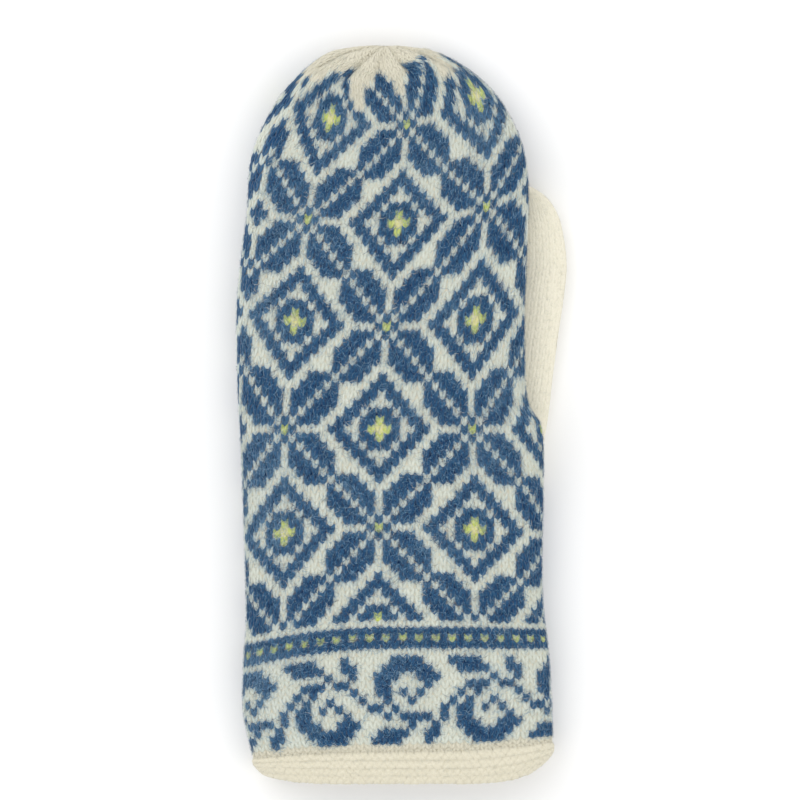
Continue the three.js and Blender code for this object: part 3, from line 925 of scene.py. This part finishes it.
def inside_hand(points):
    """Which points of the thumb's root would lie inside the hand's pocket, above the palm's wall."""
    above_palm = points[..., 2] > palm_lift(points[..., 0], points[..., 1]) + WALL_THICKNESS
    return above_palm & (points[..., 1] < LIFT_FULL_Y) & (points[..., 0] < POCKET_EDGE_X)


thumb_wool = wool("thumb_wool", (0.80, 0.755, 0.60), (0.89, 0.85, 0.715), (0.95, 0.92, 0.82))
thumb_members = []
for number in range(1, int(THUMB_KNIT[-1, 0])):
    for stitch in range(THUMB_FIRST_STITCH, THUMB_FIRST_STITCH + THUMB_STITCHES):
        together = stitches_together(thumb_face.stitch_width(np.array(number), np.array(stitch)))
        if stitch % together == 0:
            thumb_members.append((number, stitch, together, THUMB_PLUMPNESS))
thumb_table = np.array(thumb_members, float)
thumb_table = thumb_table[~inside_hand(thumb_face.at(thumb_table[:, 0], thumb_table[:, 1])[0])]
thumb_stitches = lay_stitches(
    "thumb_stitches", thumb_face, thumb_table, lambda rounds, stitches: np.zeros(rounds.shape),
    thumb_wool, THUMB_RELIEF, THUMB_FELT)
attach(thumb_stitches, "root")

plain_strands = strand_wool("plain_strands", (0.74, 0.70, 0.57), (0.66, 0.62, 0.50), 0.6)
thumb_wall = knit_wall(
    "thumb_wall", thumb_face, 0, THUMB_WALL_END, THUMB_FIRST_STITCH, THUMB_STITCHES,
    keep=lambda point: not inside_hand(point), colours=lambda number, stitch: 0.0, thickness=THUMB_WALL,
    depth=lambda numbers: THUMB_WALL_DEPTH, materials=(thumb_wool, plain_strands))
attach(thumb_wall, "root")
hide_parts("thumb")

# Hem of the cuff
# Four rounds of plain cream purl stitches, which roll into a thick round edge. The hem is knitted on to the
# hand's first round, and its purl bumps lie side by side like beads.
HEM_ROUNDS = np.array([
    (0.8, -50.4, 3.4, 52.6, 8.4, 22.6, 0.0, 6.0),
    (4.4, -52.4, 5.4, 54.2, 10.4, 24.4, 0.0, 4.5),
    (8.6, -53.6, 7.2, 54.9, 12.8, 24.2, 0.0, 3.0),
    (12.0, -53.6, 9.0, 54.3, 15.1, 23.0, 0.0, 2.0),
    (15.4, -54.3, 12.2, 54.2, 18.4, 23.1, 0.0, 2.0),
])
HEM_KNIT = np.array([
    (-0.5, -0.4, -6.2, 2.66, 22.0, -18.4),
    (0, 0.9, -6.2, 2.66, 22.0, -18.4),
    (1, 3.6, -6.3, 2.70, 22.0, -18.4),
    (2, 6.4, -6.4, 2.72, 22.0, -18.4),
    (3, 9.2, -6.5, 2.73, 22.0, -18.4),
    (4, 12.0, -6.6, 2.73, 22.0, -18.4),
    (5, 14.8, -6.7, 2.75, 22.2, -18.4),
])
HEM_WALL = 3.2
HEM_WALL_END = 4.5
HEM_WALL_DEPTH = 0.05
HEM_SINKS_FROM = 3.2
HEM_SINKS_BY = 1.1
hem_face = knit_face(HEM_ROUNDS, HEM_KNIT, STITCHES_ROUND, OTHER_SIDE_STITCH)
hem_wool = wool("hem_wool", (0.665, 0.62, 0.475), (0.78, 0.735, 0.60), (0.95, 0.92, 0.82))


def hem_wall_depth(numbers):
    """How deep the hem's wall lies, more where it goes under the hand's first rounds."""
    return HEM_WALL_DEPTH + HEM_SINKS_BY * smoothstep(numbers, HEM_SINKS_FROM, HEM_WALL_END)


hem_wall = knit_wall(
    "hem_wall", hem_face, 0, HEM_WALL_END, OTHER_SIDE_STITCH, STITCHES_ROUND,
    keep=lambda point: True, colours=lambda number, stitch: 0.0, thickness=HEM_WALL,
    depth=hem_wall_depth, materials=(hem_wool, plain_strands))
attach(hem_wall, "root")
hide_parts("cuff_hem")

PURL_RINGS = (
    # how far along the round, half height in rounds, half depth in mm, arch in rounds
    (-0.42, 0.40, 0.30, -0.12),
    (0.0, 0.56, 0.40, 0.10),
    (0.42, 0.40, 0.30, -0.12),
)
PURL_SIDES = 6
PURL_MIDDLE_DEPTH = -0.14
PURL_ENDS = ((-0.60, -0.34, -0.6), (0.60, -0.34, -0.6))
PURL_ROWS = (0.0, 0.9, 1.95, 3.05)
PURL_LOWER_ARCH = 0.32
UNEVEN_PURL = 0.04
# A bump that reaches lower than this, in mm, is pressed softly towards the table
PRESSED_BELOW = 0.4
PRESSED_SOFTLY = 0.38

purl_places, purl_faces = closed_strand(
    [
        ((across, arch, PURL_MIDDLE_DEPTH), (0, half_height, 0), (0, 0, half_depth))
        for across, half_height, half_depth, arch in PURL_RINGS
    ],
    PURL_SIDES, PURL_ENDS)
purl_corners, purl_counts = flat_faces(purl_faces)
turned_corners = flat_faces([f[::-1] for f in purl_faces])[0]
# Each stitch has a bump that arches up, and half a stitch on, one that arches down
bump_rows = np.array([
    (number, stitch + (0.5 if arch < 0 else 0.0), arch)
    for number in PURL_ROWS
    for stitch in stitch_numbers
    for arch in (1, -1)
])
bump_luck = np.random.default_rng(11).normal(0, UNEVEN_PURL, (2, len(bump_rows)))
bump_arch = bump_rows[:, 2, None]
bump_round = bump_rows[:, 0] + np.where(bump_rows[:, 2] < 0, PURL_LOWER_ARCH, 0) + bump_luck[0]
bump_stitch = bump_rows[:, 1] + bump_luck[1]
bump_points, bump_outward = hem_face.at(
    bump_round[:, None] + purl_places[None, :, 1] * bump_arch, bump_stitch[:, None] + purl_places[None, :, 0])
bump_points = bump_points + bump_outward * purl_places[None, :, 2, None]
bump_height = bump_points[..., 2]
pressed = TABLE_GAP + PRESSED_SOFTLY * np.exp(np.minimum(bump_height - PRESSED_BELOW, 0) / PRESSED_SOFTLY)
bump_points[..., 2] = np.where(bump_height < PRESSED_BELOW, pressed, bump_height)
bump_corners = np.where(bump_arch > 0, purl_corners[None], turned_corners[None])
bump_corners = bump_corners + np.arange(len(bump_rows))[:, None] * len(purl_places)
purl_bumps = new_mesh(
    "purl_bumps", bump_points.reshape(-1, 3), bump_corners.ravel(),
    np.tile(purl_counts, len(bump_rows)), hem_wool, np.zeros(bump_height.size))
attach(purl_bumps, "root")

# Bloom of brushed fibres
# Fine loose fibres of the wool, brushed up all over the outside and lying nearly flat. They blur the edge
# between two yarns, and drift thickest over the rubbed places. Each is a thin ribbon of two lengths.
fibre_luck = np.random.default_rng(23)
FIBRE_POINTS = 5
FIBRE_CORNERS = (0, 1, 3, 2, 2, 3, 4)
FIBRE_COUNTS = (4, 3)
FIBRE_CURL = 0.9
SHORTEST_SHARE = 0.3
LOWEST_SHARE = 0.3
FIBRE_ARCH = (0.3, 1.0, 0.5)
DARKER_FIBRES = 0.7


def brushed_fibres(name, face, starts, longest, width, lift, colour):
    """Lays thin ribbons along a piece's face, each starting at a (round, stitch) and slightly curled."""
    count = len(starts)
    heading = fibre_luck.uniform(0, 2 * math.pi, count)
    curl = fibre_luck.normal(0, FIBRE_CURL, count)
    length = longest * fibre_luck.uniform(SHORTEST_SHARE, 1, count) ** 2
    high = lift * fibre_luck.uniform(LOWEST_SHARE, 1, count)
    angle = heading[:, None] + curl[:, None] * np.array([-1, 0, 1])[None]
    up, across = (
        np.cumsum(way(angle) * length[:, None] / 2, axis=1) - way(angle[:, :1]) * length[:, None] / 2
        for way in (np.sin, np.cos))
    points, outward = face.at(starts[:, :1] + up, starts[:, 1:] + across)
    points = points + outward * (high[:, None] * np.array(FIBRE_ARCH)[None])[..., None]
    side = np.cross(np.gradient(points, axis=1), outward)
    side /= np.linalg.norm(side, axis=-1, keepdims=True) + TINY
    half = side * width / 2
    ribbon = np.stack([
        points[:, 0] - half[:, 0], points[:, 0] + half[:, 0],
        points[:, 1] - half[:, 1], points[:, 1] + half[:, 1], points[:, 2]], 1)
    ribbon[..., 2] = np.maximum(ribbon[..., 2], TABLE_GAP)
    corners = (np.array(FIBRE_CORNERS)[None] + np.arange(count)[:, None] * FIBRE_POINTS).ravel()
    fibres = new_mesh(
        name, ribbon.reshape(-1, 3), corners, np.tile(FIBRE_COUNTS, count), colour,
        np.zeros(count * FIBRE_POINTS))
    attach(fibres, "root")
    return fibres


def fibre_wool(name, colour):
    """The wool of loose fibres, some of them darker."""
    material, shader, texture = matt_wool(name, heather_size=300, roughness=0.85, specular=0.2)
    darker = [DARKER_FIBRES * c for c in colour]
    tone = mixed_colour(material, texture.outputs["Heather"], darker, colour)
    material.node_tree.links.new(tone, shader.inputs["Base Color"])
    return material


def scattered(count, first, last, low, high):
    """Random places as (round, stitch), between two rounds and two stitches."""
    return np.stack([fibre_luck.uniform(first, last, count), fibre_luck.uniform(low, high, count)], 1)


BACK_FIBRES = 88000
PALM_FIBRES = 26000
THUMB_FIBRES = 6000
HEM_FIBRES = 4000
FIBRED_FROM = -28
FIBRED_TO = 55
HAND_FIBRE = {"width": 0.085, "lift": 0.5}
# How the fibres over the blue and over the pale stitches are shared out among the colours
PALE_SHARE = 0.20
PALE_SHARE_RUBBED = 0.22
DARK_FROM = 0.66
GREY_SHARE = 0.22
CREAM_UNTIL = 0.70
everywhere = np.concatenate([
    scattered(BACK_FIBRES, FIBRED_FROM, FIBRED_TO, OTHER_SIDE_STITCH, THUMB_SIDE_STITCH),
    scattered(PALM_FIBRES, FIBRED_FROM, FIBRED_TO, THUMB_SIDE_STITCH, OTHER_SIDE_STITCH + STITCHES_ROUND),
])
everywhere = everywhere[~inside_thumb(hand_face.at(everywhere[:, 0], everywhere[:, 1])[0])]
on_blue = blue_at(everywhere[:, 0], everywhere[:, 1])
draw = fibre_luck.uniform(0, 1, len(everywhere))
pale_share = PALE_SHARE + PALE_SHARE_RUBBED * bloom_at(everywhere[:, 0], everywhere[:, 1])
cream_fibres = fibre_wool("cream_fibre", (0.78, 0.77, 0.66))
for fibre_name, chosen, colour in (
    ("pale_fibres", (on_blue > 0.5) & (draw < pale_share), (0.24, 0.40, 0.54)),
    ("blue_fibres", (on_blue > 0.5) & (draw >= pale_share) & (draw < DARK_FROM), (0.055, 0.170, 0.325)),
    ("dark_fibres", (on_blue > 0.3) & (draw >= DARK_FROM), (0.006, 0.030, 0.090)),
    ("grey_fibres", (on_blue > 0.04) & (on_blue <= 0.5) & (draw < GREY_SHARE), (0.15, 0.31, 0.45)),
):
    piece = brushed_fibres(
        fibre_name, hand_face, everywhere[chosen], longest=1.4, **HAND_FIBRE,
        colour=fibre_wool(fibre_name[:-1], colour))
over_cream = everywhere[(on_blue <= 0.5) & (draw >= GREY_SHARE) & (draw < CREAM_UNTIL)]
hand_cream_fibres = brushed_fibres(
    "cream_fibres", hand_face, over_cream, longest=1.1, **HAND_FIBRE, colour=cream_fibres)

thumb_places = scattered(THUMB_FIBRES, 1, 41, THUMB_FIRST_STITCH, THUMB_FIRST_STITCH + THUMB_STITCHES)
thumb_places = thumb_places[~inside_hand(thumb_face.at(thumb_places[:, 0], thumb_places[:, 1])[0])]
thumb_fibres = brushed_fibres(
    "thumb_fibres", thumb_face, thumb_places, longest=1.2, width=0.07, lift=0.25, colour=cream_fibres)
hem_places = scattered(HEM_FIBRES, 0.3, 4.2, OTHER_SIDE_STITCH, OTHER_SIDE_STITCH + STITCHES_ROUND)
hem_fibres = brushed_fibres(
    "hem_fibres", hem_face, hem_places, longest=1.0, width=0.07, lift=0.3, colour=cream_fibres)
